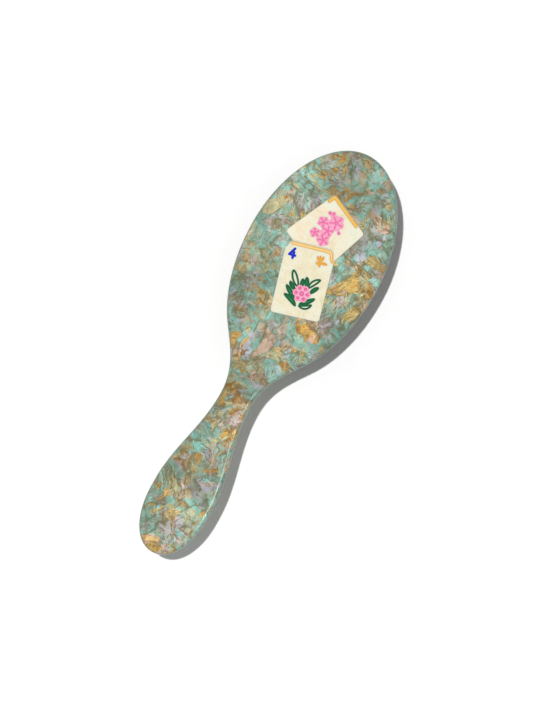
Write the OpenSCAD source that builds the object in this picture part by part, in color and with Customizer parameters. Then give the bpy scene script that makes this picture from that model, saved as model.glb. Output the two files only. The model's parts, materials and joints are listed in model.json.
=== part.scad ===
// Oval cushion hairbrush cut from patterned acetate sheet, with two game tiles inlaid in its back.
// The back faces +Z, the pins point down to Z = 0, and +Y runs to the tip of the head.
// The origin is under the middle of the brush's length and width, level with the pin tips.

/* [Outline] */
// Length from the tip of the head to the end of the handle
brush_length = 220; // [212:1:230]
// Width of the head at its widest
head_width = 69.2; // [67:0.2:72]
// Width of the neck at its narrowest
neck_width = 16.3; // [15:0.1:18]
// Width of the grip at its widest
grip_width = 32; // [29:0.5:35]

/* [Slab] */
// Thickness of the acetate slab
slab_thickness = 11; // [10.5:0.5:13]
// Radius of the rounded edges
edge_radius = 3; // [2:0.25:4]

/* [Cushion] */
// Width of the oval recess that holds the cushion
cushion_width = 54; // [52:1:55]
// Length of the oval recess that holds the cushion
cushion_length = 96; // [93:1:97]
// Height of the cushion's crown below the front face
cushion_crown = 4.5; // [3.5:0.25:5]
// Thickness of the rubber
cushion_wall = 1.4; // [1.2:0.1:1.6]
// Depth of the recess
recess_depth = 5.5; // [5:0.25:6]

/* [Pins and tufts] */
// Length of the middle pins outside the cushion
pin_reach = 16.5; // [15:0.5:18]
// Diameter of a nylon pin
pin_diameter = 1.2; // [1:0.1:1.4]
// Diameter of the ball on a pin's tip
ball_diameter = 1.9; // [1.6:0.1:2.1]
// Distance between neighbouring pins along a ring
pin_spacing = 6.3; // [6:0.1:7]
// How far the bristle tufts stop short of the pin tips
tuft_step = 3; // [2:0.5:5]

/* [Tiles] */
// Thickness of the inlaid tile slices
tile_thickness = 2; // [1.6:0.1:2.4]
// Depth of the paint-filled engraving
engraving_depth = 0.4; // [0.3:0.05:0.6]
// Width of the gold border lines
gold_line_width = 1.7; // [1.5:0.05:1.8]

/* [Hidden] */
RING_COUNT = 5;
RINGS = [for (ring = [1:RING_COUNT]) ring];

// Heights
front_z = pin_reach + cushion_crown;
back_z = front_z + slab_thickness;
engraving_z = back_z - engraving_depth;

// Stations along the brush, measured from the tip of the head
widest_at = 0.259 * brush_length;
head_low_length = 0.277 * brush_length;
shoulder_at = 0.473 * brush_length;
neck_at = 0.618 * brush_length;
grip_at = 0.859 * brush_length;
end_length = 0.127 * brush_length;
cushion_y = brush_length / 2 - 0.257 * brush_length;

// Lengths of the curve handles that shape the shoulder and the grip
shoulder_lead = 10;
neck_lead = 14;
grip_lead = 19;
// Roundness of the handle's end, where 2 is an ellipse and more is squarer
end_fullness = 2.1;

edge_steps = 5;
curve_steps = 9;
oval_steps = 72;
fine = 32;
// Running clearance of the parts that sit in the cushion
slot_gap = 0.03;
// Room round each pin in its hole in the rubber
pin_clearance = 0.06;
// How far a cutter stands proud of what it cuts, so that the cut opens cleanly
cut_over = 1;

// Rounded outline of the slab

function bezier(a, b, c, d, s) =
    pow(1 - s, 3) * a + 3 * s * pow(1 - s, 2) * b + 3 * s * s * (1 - s) * c + pow(s, 3) * d;

function head_top_point(angle) =
    [head_width / 2 * sin(angle), widest_at * (1 - cos(angle))];

function head_low_point(angle) =
    [head_width / 2 * cos(angle), widest_at + head_low_length * sin(angle)];

function end_point(angle) =
    [grip_width / 2 * pow(cos(angle), 2 / end_fullness),
     brush_length - end_length * (1 - pow(sin(angle), 2 / end_fullness))];

shoulder_angle = asin((shoulder_at - widest_at) / head_low_length);
shoulder = head_low_point(shoulder_angle);
shoulder_slope = [-head_width / 2 * sin(shoulder_angle), head_low_length * cos(shoulder_angle)];
shoulder_handle = shoulder + shoulder_lead * shoulder_slope / shoulder_slope.y;
neck = [neck_width / 2, neck_at];
grip = [grip_width / 2, grip_at];

// One side of the outline as [half width, distance from the tip], from tip to handle end
half_outline = concat(
    [for (angle = [0:5:90]) head_top_point(angle)],
    [for (step = [1:curve_steps]) head_low_point(shoulder_angle * step / curve_steps)],
    [for (step = [1:curve_steps])
        bezier(shoulder, shoulder_handle, neck - [0, neck_lead], neck, step / curve_steps)],
    [for (step = [1:curve_steps])
        bezier(neck, neck + [0, grip_lead], grip - [0, grip_lead], grip, step / curve_steps)],
    [for (angle = [0:7.5:90]) end_point(angle)]
);
half_count = len(half_outline);

// Whole outline, counter-clockwise seen from the back
outline = concat(
    [for (p = half_outline) [-p.x, brush_length / 2 - p.y]],
    [for (i = [half_count - 2:-1:1]) [half_outline[i].x, brush_length / 2 - half_outline[i].y]]
);

function inward(points, i) =
    let (count = len(points),
         run = points[(i + 1) % count] - points[(i + count - 1) % count])
    [-run.y, run.x] / norm(run);

function inset_ring(points, inset, z) =
    [for (i = [0:len(points) - 1])
        let (p = points[i] + inset * inward(points, i))
        [p.x, p.y, z]];

// Solid through a stack of rings that have equal point counts and run counter-clockwise
module loft(rings) {
    count = len(rings[0]);
    last = (len(rings) - 1) * count;
    polyhedron(
        points = [for (ring = rings) each ring],
        faces = concat(
            [[for (i = [0:count - 1]) i]],
            [[for (i = [count - 1:-1:0]) last + i]],
            [for (k = [0:len(rings) - 2], i = [0:count - 1])
                [k * count + i, (k + 1) * count + i, (k + 1) * count + (i + 1) % count]],
            [for (k = [0:len(rings) - 2], i = [0:count - 1])
                [k * count + i, (k + 1) * count + (i + 1) % count, k * count + (i + 1) % count]]
        )
    );
}

module slab() {
    edge_angles = [for (step = [0:edge_steps]) 90 * step / edge_steps];
    loft(concat(
        [for (angle = edge_angles)
            inset_ring(outline, edge_radius * (1 - sin(angle)), front_z + edge_radius * (1 - cos(angle)))],
        [for (angle = edge_angles)
            inset_ring(outline, edge_radius * (1 - cos(angle)), back_z - edge_radius * (1 - sin(angle)))]
    ));
}

// Ovals of the cushion, its recess and its rings of pins

half_oval = [cushion_width / 2, cushion_length / 2];
// The flange of the cushion sits in a groove cut around the recess
flange_reach = 1.5;
flange_low_z = front_z + 1.6;
flange_height = 1.9;
flange_inset = 2.2;
wall_clearance = 0.1;

function oval_point(inset, angle) =
    [(half_oval.x - inset) * cos(angle), cushion_y + (half_oval.y - inset) * sin(angle)];

function oval(inset) = [for (step = [0:oval_steps - 1]) oval_point(inset, 360 * step / oval_steps)];

function oval_ring(inset, z) = [for (p = oval(inset)) [p.x, p.y, z]];

module oval_slot(inset, low_z, height) {
    translate([0, 0, low_z])
        linear_extrude(height)
            polygon(oval(inset));
}

// Height of the cushion's outer and inner faces at a distance in from the recess wall
crown_power = 2.5;
function outer_z(inset) =
    front_z - cushion_crown * (1 - pow(max(0, 1 - inset / half_oval.x), crown_power));
function inner_z(inset) = outer_z(inset) + cushion_wall;

// Rings of pins, numbered from the outer ring to the row along the middle
edge_to_ring = 5.5;
ring_step = (half_oval.x - edge_to_ring) / (RING_COUNT - 1);
function ring_inset(ring) = edge_to_ring + (ring - 1) * ring_step;

// Table of [distance walked round an oval, angle], for even spacing along it
walk_step = 3;
function oval_walk(inset) =
    [for (angle = 0, walked = 0; angle <= 360;
          walked = walked + norm(oval_point(inset, angle + walk_step) - oval_point(inset, angle)),
          angle = angle + walk_step)
        [walked, angle]];

function spaced_oval(inset) =
    let (walk = oval_walk(inset),
         around = walk[len(walk) - 1][0],
         count = 2 * round(around / pin_spacing / 2))
    [for (i = [0:count - 1]) oval_point(inset, lookup(around * i / count, walk))];

function middle_row() =
    let (reach = half_oval.y - half_oval.x,
         gaps = round(2 * reach / pin_spacing))
    [for (i = [0:gaps]) [0, cushion_y - reach + 2 * reach * i / gaps]];

function ring_places(ring) = ring == RING_COUNT ? middle_row() : spaced_oval(ring_inset(ring));

hole_radius = pin_diameter / 2 + pin_clearance;
vent_diameter = 1.4;
vent_place = [0, cushion_y + half_oval.y - half_oval.x + ring_step / 2];

// Rings of points on the cushion's faces, from the crown to the rim, closer together near the rim
crown_flat = 0.5;
face_steps = 8;
face_crowding = 1.4;
face_insets = [for (step = [0:face_steps])
    (half_oval.x - crown_flat) * pow(1 - step / face_steps, face_crowding)];
inner_margin = 0.3;
inner_insets = [for (i = [face_steps - 1:-1:0])
    if (face_insets[i] > flange_inset + inner_margin) face_insets[i]];

module cushion_pad() {
    rubber_rings = concat(
        [for (inset = face_insets) oval_ring(inset + wall_clearance, outer_z(inset))],
        [oval_ring(wall_clearance, flange_low_z + slot_gap),
         oval_ring(-flange_reach + wall_clearance, flange_low_z + slot_gap),
         oval_ring(-flange_reach + wall_clearance, flange_low_z + flange_height - slot_gap),
         oval_ring(flange_inset, flange_low_z + flange_height - slot_gap),
         oval_ring(flange_inset, inner_z(flange_inset))],
        [for (inset = inner_insets) oval_ring(inset + wall_clearance, inner_z(inset))]
    );
    color("#1E1C1C")
        difference() {
            loft(rubber_rings);
            for (ring = RINGS, place = ring_places(ring))
                translate([place.x, place.y, 0])
                    cylinder(r = hole_radius, h = back_z, $fn = fine);
            translate([vent_place.x, vent_place.y, 0])
                cylinder(d = vent_diameter, h = back_z, $fn = fine);
        }
}

foot_radius = 1.5;
foot_height = 0.8;
tuft_root_radius = 1.25;
tuft_tip_radius = 1.75;

// A pin stands in a hole of the cushion, with its round foot on the rubber's inner face
module pin_ring(ring) {
    foot_z = inner_z(ring_inset(ring) - foot_radius) + slot_gap;
    ball_radius = ball_diameter / 2;
    color("#171516")
        for (place = ring_places(ring))
            translate([place.x, place.y, 0]) {
                translate([0, 0, foot_z])
                    cylinder(r = foot_radius, h = foot_height, $fn = fine);
                translate([0, 0, ball_radius])
                    cylinder(d = pin_diameter, h = foot_z + foot_height / 2 - ball_radius, $fn = fine);
                translate([0, 0, ball_radius])
                    sphere(r = ball_radius, $fn = fine);
            }
}

// A tuft of bristle stands round each pin and flares towards its tip
module tuft_ring(ring) {
    root_z = outer_z(ring_inset(ring) + tuft_root_radius) - slot_gap;
    color("#3B2A20")
        for (place = ring_places(ring))
            translate([place.x, place.y, tuft_step])
                difference() {
                    cylinder(r1 = tuft_tip_radius, r2 = tuft_root_radius, h = root_z - tuft_step, $fn = fine);
                    translate([0, 0, -cut_over])
                        cylinder(r = hole_radius, h = root_z, $fn = fine);
                }
}

// Inlaid tiles. Each has its own frame: x to its right and y to the top of its picture

lower_tile_place = [1.0, brush_length / 2 - 69.4];
lower_tile_turn = 16;
upper_tile_place = [-0.9, brush_length / 2 - 43.4];
upper_tile_turn = -25.4;
tile_corner = 1.7;
tile_seam = 0.04;

lower_tile_corners = [[-12.5, -17.5], [11.8, -17.5], [12.5, 12.4], [10.9, 18.2], [-9.6, 18.6], [-12.1, 14.4]];
upper_tile_corners = [[-12.5, -14.9], [14.8, -14.9], [11.7, 15.1], [-12.6, 15.1]];
// Bare rim of a tile outside its paint
paint_margin = 0.2;

module on_lower_tile() {
    translate(lower_tile_place)
        rotate(lower_tile_turn)
            children();
}

module on_upper_tile() {
    translate(upper_tile_place)
        rotate(upper_tile_turn)
            children();
}

module rounded(radius) {
    offset(r = radius, $fn = fine)
        offset(delta = -radius)
            children();
}

module lower_tile_shape() {
    rounded(tile_corner)
        polygon(lower_tile_corners);
}

module upper_tile_shape() {
    rounded(tile_corner)
        polygon(upper_tile_corners);
}

module lower_tile_outline() {
    on_lower_tile()
        lower_tile_shape();
}

module upper_tile_outline() {
    on_upper_tile()
        upper_tile_shape();
}

// The upper tile is cut away round the lower one
module upper_tile_area() {
    offset(delta = 0)
        difference() {
            upper_tile_outline();
            offset(delta = tile_seam)
                lower_tile_outline();
        }
}

// One pocket in the slab takes both tiles
module pocket_area() {
    offset(delta = tile_seam) {
        lower_tile_outline();
        upper_tile_outline();
    }
}

// Pen strokes and leaves that the pictures are drawn with

hairline = 0.02;
pen_round = 20;
module stroke(path, width) {
    offset(r = (width - hairline) / 2, $fn = pen_round)
        for (i = [0:len(path) - 2]) {
            run = path[i + 1] - path[i];
            translate(path[i])
                rotate(atan2(run.y, run.x))
                    translate([-hairline / 2, -hairline / 2])
                        square([norm(run) + hairline, hairline]);
        }
}

// Joins the overlapping shapes of a drawn area into one outline
module drawn() {
    offset(delta = 0)
        children();
}

// Keeps paint clear of the rim of the shape that is the last child
module inside_rim() {
    intersection() {
        children(0);
        offset(delta = -paint_margin)
            children(1);
    }
}

module ring_area(radii) {
    difference() {
        circle(r = radii[0], $fn = pen_round);
        circle(r = radii[1], $fn = pen_round);
    }
}

// A leaf is an ellipse from base to tip; bow pushes its middle sideways
leaf_steps = 9;
function leaf_point(leaf, angle) =
    let (base = leaf[0],
         tip = leaf[1],
         along = (1 - cos(angle)) / 2,
         across = [base.y - tip.y, tip.x - base.x] / norm(tip - base),
         reach = leaf[3] * sin(180 * along) + leaf[2] / 2 * sin(angle))
    base + along * (tip - base) + reach * across;

module leaf_area(leaf) {
    polygon([for (step = [0:2 * leaf_steps - 1]) leaf_point(leaf, 180 * step / leaf_steps)]);
}

// Leaves round the flower: base, tip, width, bow
leaves = [
    [[-1.9, -3.0], [-5.9, 4.9], 3.1, 0.2],
    [[-2.9, -4.6], [-6.3, -0.9], 2.2, 0.2],
    [[-2.3, -8.8], [-7.6, -2.9], 2.4, 0.1],
    [[-0.9, -12.4], [-7.8, -7.4], 2.5, -0.6],
    [[-0.2, -3.0], [-0.2, 1.7], 2.2, 0.0],
    [[2.5, -2.9], [1.4, 2.8], 2.4, 0.0],
    [[2.9, -2.6], [8.3, 2.9], 2.7, 0.5],
    [[4.4, -4.9], [8.2, -1.0], 2.2, 0.2],
    [[0.4, -11.2], [7.6, -6.8], 2.4, -0.2],
    [[0.2, -11.9], [6.8, -10.1], 2.4, -0.9]
];
leaf_line = 0.9;
// The leaves that are painted in; the others show the tile between their outlines
painted_leaves = [1, 2, 3, 4, 5, 7, 8];

// The flower is a middle petal with six round it, each with a darker ring
flower_middle = [0.6, -5.7];
petal_orbit = 2.8;
petal_radius = 1.65;
middle_eye = [1.05, 0.5];
petal_eye = [0.72, 0.28];
outer_petals = [for (angle = [0:60:300]) flower_middle + petal_orbit * [cos(angle), sin(angle)]];

module flower_area() {
    drawn()
        for (place = concat([flower_middle], outer_petals))
            translate(place)
                circle(r = petal_radius, $fn = pen_round);
}

module flower_centre_area() {
    drawn() {
        translate(flower_middle)
            ring_area(middle_eye);
        for (place = outer_petals)
            translate(place)
                ring_area(petal_eye);
    }
}

module leaf_outline_area() {
    drawn()
        difference() {
            for (leaf = leaves)
                difference() {
                    leaf_area(leaf);
                    offset(delta = -leaf_line)
                        leaf_area(leaf);
                }
            flower_area();
        }
}

module leaf_fill_area() {
    drawn()
        difference() {
            for (i = painted_leaves)
                offset(delta = -leaf_line)
                    leaf_area(leaves[i]);
            leaf_outline_area();
            flower_area();
        }
}

numeral_pen = 1.25;
numeral_upright = [[-7.6, 10.3], [-7.4, 13.1]];
numeral_slant = [[-7.3, 14.9], [-9.5, 11.8], [-6.6, 11.6]];

module numeral_area() {
    drawn() {
        stroke(numeral_upright, numeral_pen);
        stroke(numeral_slant, numeral_pen);
    }
}

sprig_pen = 0.8;
sprig_stem = [[6.2, 9.0], [6.0, 11.4], [5.6, 13.9]];
sprig_leaves = [
    [[6.0, 11.0], [4.2, 13.8], 1.5, 0.1],
    [[6.0, 11.2], [7.3, 14.3], 1.5, -0.1],
    [[6.0, 10.5], [9.7, 10.6], 1.5, 0.2],
    [[6.4, 9.4], [3.9, 10.8], 1.4, -0.1]
];

module sprig_area() {
    drawn() {
        stroke(sprig_stem, sprig_pen);
        for (leaf = sprig_leaves)
            leaf_area(leaf);
    }
}

lower_gold_path = [[-8.8, 17.45], [8.7, 17.1], [9.8, 16.8], [10.5, 16.0], [11.7, 12.7]];
upper_gold_path = [[6.1, 14.0], [-11.0, 14.0], [-11.4, 13.6], [-11.5, 10.7]];

// A spray of blossoms, each of five round petals: place, size, turn
blossoms = [
    [[-0.9, 7.2], 2.1, 90],
    [[-4.9, 2.4], 1.55, 30],
    [[-0.2, 1.5], 1.65, 54],
    [[2.0, -2.9], 1.7, 10],
    [[-3.3, -3.9], 1.35, 75]
];
// Buds: place, radius
buds = [[[-6.6, 7.6], 1.0], [[-5.2, 9.0], 0.9], [[3.9, 5.2], 0.9]];
twigs = [
    [[-0.9, 7.2], [-6.6, 7.6]],
    [[-0.9, 7.2], [-5.2, 9.0]],
    [[-0.9, 7.2], [3.9, 5.2]],
    [[-0.9, 7.2], [-0.2, 1.5], [-3.3, -3.9]],
    [[-0.2, 1.5], [-4.9, 2.4]],
    [[-0.2, 1.5], [2.0, -2.9]]
];
twig_pen = 1.3;
vein_pen = 0.4;
// Shares of a blossom's size: where its petals stand, how large they are, and the darker lines on them
blossom_orbit = 1.05;
blossom_petal = 0.85;
blossom_eye = [0.42, 0.2];
blossom_vein = [0.7, 1.45];
bud_eye = [0.6, 0.3];

function out_of(blossom, petal) = [cos(72 * petal + blossom[2]), sin(72 * petal + blossom[2])];

module blossom_area() {
    drawn() {
        for (blossom = blossoms, petal = [0:4])
            translate(blossom[0] + blossom_orbit * blossom[1] * out_of(blossom, petal))
                circle(r = blossom_petal * blossom[1], $fn = pen_round);
        for (bud = buds)
            translate(bud[0])
                circle(r = bud[1], $fn = pen_round);
        for (twig = twigs)
            stroke(twig, twig_pen);
    }
}

module blossom_line_area() {
    drawn() {
        for (blossom = blossoms) {
            translate(blossom[0])
                ring_area(blossom_eye * blossom[1]);
            for (petal = [0:4])
                stroke([for (share = blossom_vein)
                    blossom[0] + share * blossom[1] * out_of(blossom, petal)], vein_pen);
        }
        for (bud = buds)
            translate(bud[0])
                ring_area(bud_eye * bud[1]);
    }
}

// Paint fills one engraved area of a tile, flush with the back of the brush
module paint() {
    translate([0, 0, engraving_z])
        linear_extrude(engraving_depth)
            children();
}

module lower_gold_area() {
    inside_rim() {
        stroke(lower_gold_path, gold_line_width);
        lower_tile_shape();
    }
}

module upper_gold_area() {
    inside_rim() {
        stroke(upper_gold_path, gold_line_width);
        upper_tile_shape();
    }
}

module lower_gold_line() {
    color("#F2C35C")
        paint()
            on_lower_tile()
                lower_gold_area();
}

module upper_gold_line() {
    color("#F2C35C")
        paint()
            on_upper_tile()
                upper_gold_area();
}

module blue_numeral() {
    color("#0B1FC4")
        paint()
            on_lower_tile()
                numeral_area();
}

module orange_sprig() {
    color("#F0A830")
        paint()
            on_lower_tile()
                sprig_area();
}

module leaf_outlines() {
    color("#0B5D34")
        paint()
            on_lower_tile()
                leaf_outline_area();
}

module leaf_fills() {
    color("#2A9A5A")
        paint()
            on_lower_tile()
                leaf_fill_area();
}

module flower_petals() {
    color("#FF9CC0")
        paint()
            on_lower_tile()
                difference() {
                    flower_area();
                    flower_centre_area();
                }
}

module flower_centres() {
    color("#E0558F")
        paint()
            on_lower_tile()
                flower_centre_area();
}

module blossom_spray() {
    color("#FF9CC0")
        paint()
            on_upper_tile()
                difference() {
                    blossom_area();
                    blossom_line_area();
                }
}

module blossom_lines() {
    color("#E0558F")
        paint()
            on_upper_tile()
                blossom_line_area();
}

module engraving() {
    translate([0, 0, engraving_z])
        linear_extrude(engraving_depth + cut_over)
            offset(delta = 0)
                children();
}

module tile_solid() {
    translate([0, 0, back_z - tile_thickness])
        linear_extrude(tile_thickness)
            children();
}

module lower_tile() {
    color("#F5EFD9")
        difference() {
            tile_solid()
                lower_tile_outline();
            engraving()
                on_lower_tile() {
                    lower_gold_area();
                    numeral_area();
                    sprig_area();
                    leaf_outline_area();
                    for (i = painted_leaves)
                        leaf_area(leaves[i]);
                    flower_area();
                }
        }
}

module upper_tile() {
    color("#F5EBD8")
        difference() {
            tile_solid()
                upper_tile_area();
            engraving()
                on_upper_tile() {
                    upper_gold_area();
                    blossom_area();
                }
        }
}

// Slab of acetate with the cushion's recess and groove in its front and the tiles' pocket in its back.
// The resize keeps its size, and makes the faces left by the cuts one closed skin
module brush_body() {
    color("#8FB3A6")
        resize([head_width, brush_length, slab_thickness])
            difference() {
                slab();
                oval_slot(0, front_z - cut_over, recess_depth + cut_over);
                oval_slot(-flange_reach, flange_low_z, flange_height);
                translate([0, 0, back_z - tile_thickness])
                    linear_extrude(tile_thickness + cut_over)
                        pocket_area();
            }
}

brush_body();
cushion_pad();
lower_tile();
upper_tile();
lower_gold_line();
upper_gold_line();
blue_numeral();
orange_sprig();
leaf_outlines();
leaf_fills();
flower_petals();
flower_centres();
blossom_spray();
blossom_lines();
for (ring = RINGS)
    pin_ring(ring);
for (ring = RINGS)
    tuft_ring(ring);
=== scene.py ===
"""Looks of an oval acetate hairbrush, built round its CAD frame. Lengths are in metres."""
import json
import math
import random

import bpy
import bmesh
import numpy as np
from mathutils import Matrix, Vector
from mathutils.geometry import delaunay_2d_cdt
from mathutils.kdtree import KDTree


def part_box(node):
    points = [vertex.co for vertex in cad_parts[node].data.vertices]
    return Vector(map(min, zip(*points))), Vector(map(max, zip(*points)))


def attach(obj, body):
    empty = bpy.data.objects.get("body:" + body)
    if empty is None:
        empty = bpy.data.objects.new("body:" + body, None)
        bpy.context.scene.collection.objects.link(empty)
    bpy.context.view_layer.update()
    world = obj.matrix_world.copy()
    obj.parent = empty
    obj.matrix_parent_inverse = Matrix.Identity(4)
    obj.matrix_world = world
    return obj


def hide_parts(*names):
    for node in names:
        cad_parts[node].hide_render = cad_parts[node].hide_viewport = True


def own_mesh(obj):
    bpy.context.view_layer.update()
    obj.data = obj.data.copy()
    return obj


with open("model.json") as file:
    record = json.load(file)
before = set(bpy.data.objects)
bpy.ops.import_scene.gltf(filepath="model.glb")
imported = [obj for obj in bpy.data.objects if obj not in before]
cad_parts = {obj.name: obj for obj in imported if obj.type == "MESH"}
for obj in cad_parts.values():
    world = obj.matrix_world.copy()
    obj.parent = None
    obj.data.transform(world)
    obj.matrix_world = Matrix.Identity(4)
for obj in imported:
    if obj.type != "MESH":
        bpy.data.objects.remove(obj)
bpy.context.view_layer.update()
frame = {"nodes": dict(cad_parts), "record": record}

MM = 0.001
RING_NUMBERS = (1, 2, 3, 4, 5)

body_low, body_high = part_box("brush_body")
cushion_low, cushion_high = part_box("cushion_pad")
FRONT_Z = body_low.z
BACK_Z = body_high.z
LENGTH = body_high.y - body_low.y
HEAD_HALF = body_high.x
EDGE_RADIUS = 3 * MM
TILE_DEPTH = BACK_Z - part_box("lower_tile")[0].z
ENGRAVING_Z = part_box("lower_gold_line")[0].z


# ---------------------------------------------------------------- outlines

def loop_length(loop):
    return sum(math.dist(a, b) for a, b in zip(loop, loop[1:] + loop[:1]))


def signed_area(loop):
    return sum(a[0] * b[1] - b[0] * a[1] for a, b in zip(loop, loop[1:] + loop[:1])) / 2


def at_height(loop, z):
    return [(x, y, z) for x, y in loop]


def inset(loop, amount):
    """A counter-clockwise loop moved inwards by an amount."""
    out = []
    for i, p in enumerate(loop):
        a, b = loop[i - 1], loop[(i + 1) % len(loop)]
        run = math.dist(a, b)
        out.append((p[0] - (b[1] - a[1]) / run * amount, p[1] + (b[0] - a[0]) / run * amount))
    return out


def resampled(loop, step):
    """The loop with its long edges split to at most step."""
    out = []
    for a, b in zip(loop, loop[1:] + loop[:1]):
        cuts = max(1, math.ceil(math.dist(a, b) / step))
        out += [(a[0] + (b[0] - a[0]) * i / cuts, a[1] + (b[1] - a[1]) * i / cuts) for i in range(cuts)]
    return out


def inside(loops, points):
    """For each point, whether the outlines hold it, by the odd-even rule."""
    x, y = np.array([(p[0], p[1]) for p in points]).reshape(-1, 2).T[:, :, None]
    held = np.zeros(len(points), bool)
    for loop in loops:
        (ax, ay), (bx, by) = np.array(loop).T, np.roll(np.array(loop), -1, axis=0).T
        spans = (ay > y) != (by > y)
        rise = np.where(by == ay, 1.0, by - ay)
        crossed = spans & (x < (bx - ax) * (y - ay) / rise + ax)
        held ^= crossed.sum(axis=1) % 2 == 1
    return held


SAME_HEIGHT = 1e-6
KEYS_PER_METRE = 1e7


def flat_outline(mesh, z):
    """The outer edges of a mesh's flat faces at height z, as a table of the keys that follow each key,
    and a table of each key's place."""
    corners = [vertex.co for vertex in mesh.vertices]
    key = [(round(c.x * KEYS_PER_METRE), round(c.y * KEYS_PER_METRE)) for c in corners]
    uses = {}
    for polygon in mesh.polygons:
        if all(abs(corners[i].z - z) < SAME_HEIGHT for i in polygon.vertices):
            keys = [key[i] for i in polygon.vertices]
            for a, b in zip(keys, keys[1:] + keys[:1]):
                if a != b:
                    uses.setdefault(frozenset((a, b)), []).append((a, b))
    following = {}
    for edge in uses.values():
        if len(edge) == 1:
            following.setdefault(edge[0][0], []).append(edge[0][1])
    return following, {k: (c.x, c.y) for k, c in zip(key, corners)}


def flat_loops(node, z):
    """Closed outlines of a CAD node's flat faces at height z, the longest first."""
    following, place = flat_outline(frame["nodes"][node].data, z)
    loops = []
    while following:
        loop, here = [], next(iter(following))
        while here in following:
            loop.append(place[here])
            onward = following[here]
            step = onward.pop()
            if not onward:
                del following[here]
            here = step
        loops.append(loop)
    return sorted(loops, key=lambda loop: -loop_length(loop))


def tree_of(loops, step=0.05 * MM):
    """Nearest-point lookup over densely sampled outlines."""
    samples = [p for loop in loops for p in resampled(loop, step)]
    tree = KDTree(len(samples))
    for i, (x, y) in enumerate(samples):
        tree.insert((x, y, 0), i)
    tree.balance()
    return tree


def distance(tree, p):
    return tree.find((p[0], p[1], 0))[2]


# ---------------------------------------------------------------- mesh helpers

WELD = 1e-7


def add_object(name, bm, material, sharp_degrees):
    """Turns a bmesh into a smoothly shaded object."""
    mesh = bpy.data.meshes.new(name)
    bm.to_mesh(mesh)
    bm.free()
    mesh.shade_smooth()
    mesh.set_sharp_from_angle(angle=math.radians(sharp_degrees))
    obj = bpy.data.objects.new(name, mesh)
    bpy.context.scene.collection.objects.link(obj)
    obj.data.materials.append(material)
    return obj


def finish_mesh(name, bm, material, sharp_degrees=40):
    """Welds and orients a bmesh, and returns it as an object."""
    bmesh.ops.remove_doubles(bm, verts=bm.verts, dist=WELD)
    bmesh.ops.recalc_face_normals(bm, faces=bm.faces)
    return add_object(name, bm, material, sharp_degrees)


def add_sheet(bm, points, faces):
    verts = [bm.verts.new(p) for p in points]
    for face in faces:
        bm.faces.new([verts[i] for i in face])


def add_strip(bm, ring_a, ring_b):
    """Quads between two closed rings of the same length."""
    count = len(ring_a)
    for i in range(count):
        j = (i + 1) % count
        bm.faces.new((ring_a[i], ring_a[j], ring_b[j], ring_b[i]))


def add_rings(bm, rings):
    """Skin through a stack of closed rings; returns the first and the last ring's vertices."""
    made = [[bm.verts.new(p) for p in ring] for ring in rings]
    for ring_a, ring_b in zip(made, made[1:]):
        add_strip(bm, ring_a, ring_b)
    return made[0], made[-1]


def close_ring(bm, ring):
    """Closes a ring with quads across it, and a triangle at each end. Its length divides by 4."""
    count = len(ring)
    quarter = count // 4
    for i in range(2 * quarter):
        a, b = (quarter + i) % count, (quarter + i + 1) % count
        c, d = (quarter - i) % count, (quarter - i - 1) % count
        bm.faces.new([ring[k] for k in dict.fromkeys((a, b, d, c))])


def fill_region(loops, extra=()):
    """Triangles over the area inside the loops. Returns 2D points and faces."""
    points, edges = [], []
    for loop in loops:
        first = len(points)
        points += [Vector(p) for p in loop]
        edges += [(first + i, first + (i + 1) % len(loop)) for i in range(len(loop))]
    points += [Vector(p) for p in extra]
    all_inside_constraints, epsilon = 1, 1e-9
    verts, _, faces, *_ = delaunay_2d_cdt(points, edges, [], all_inside_constraints, epsilon)
    middles = [sum((verts[i] for i in face), Vector((0, 0))) / len(face) for face in faces]
    faces = [face for face, held in zip(faces, inside(loops, middles)) if held]
    used = sorted({i for face in faces for i in face})
    index = {old: new for new, old in enumerate(used)}
    return [verts[i] for i in used], [[index[i] for i in face] for face in faces]


def add_flat(bm, loops, z):
    """A flat face between outlines, at height z."""
    flat, faces = fill_region(loops)
    add_sheet(bm, [(p.x, p.y, z) for p in flat], faces)


def inner_samples(loops, tree, offsets, step):
    """Points just inside the outlines, at each of the offsets, where there's room for them."""
    least_room = 0.93
    points = []
    for loop in loops:
        ring = resampled(loop, step)
        for i, p in enumerate(ring):
            a, b = ring[i - 1], ring[(i + 1) % len(ring)]
            run = math.dist(a, b) or 1.0
            normal = (-(b[1] - a[1]) / run, (b[0] - a[0]) / run)
            for offset in offsets:
                for side in (1, -1):
                    q = (p[0] + side * normal[0] * offset, p[1] + side * normal[1] * offset)
                    if distance(tree, q) > least_room * offset:
                        points.append(q)
    return [q for q, held in zip(points, inside(loops, points)) if held]


def grid_samples(loops, tree, pitch, margin):
    """Points in staggered rows inside the outlines, at least a margin away from them."""
    xs = [p[0] for loop in loops for p in loop]
    ys = [p[1] for loop in loops for p in loop]
    rows = int((max(ys) - min(ys)) / pitch)
    columns = int((max(xs) - min(xs)) / pitch)
    points = [(min(xs) + (column + 0.5 * (row % 2)) * pitch, min(ys) + (row + 0.5) * pitch)
              for row in range(rows + 1) for column in range(columns + 1)]
    return [p for p, held in zip(points, inside(loops, points)) if held and distance(tree, p) > margin]


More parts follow.
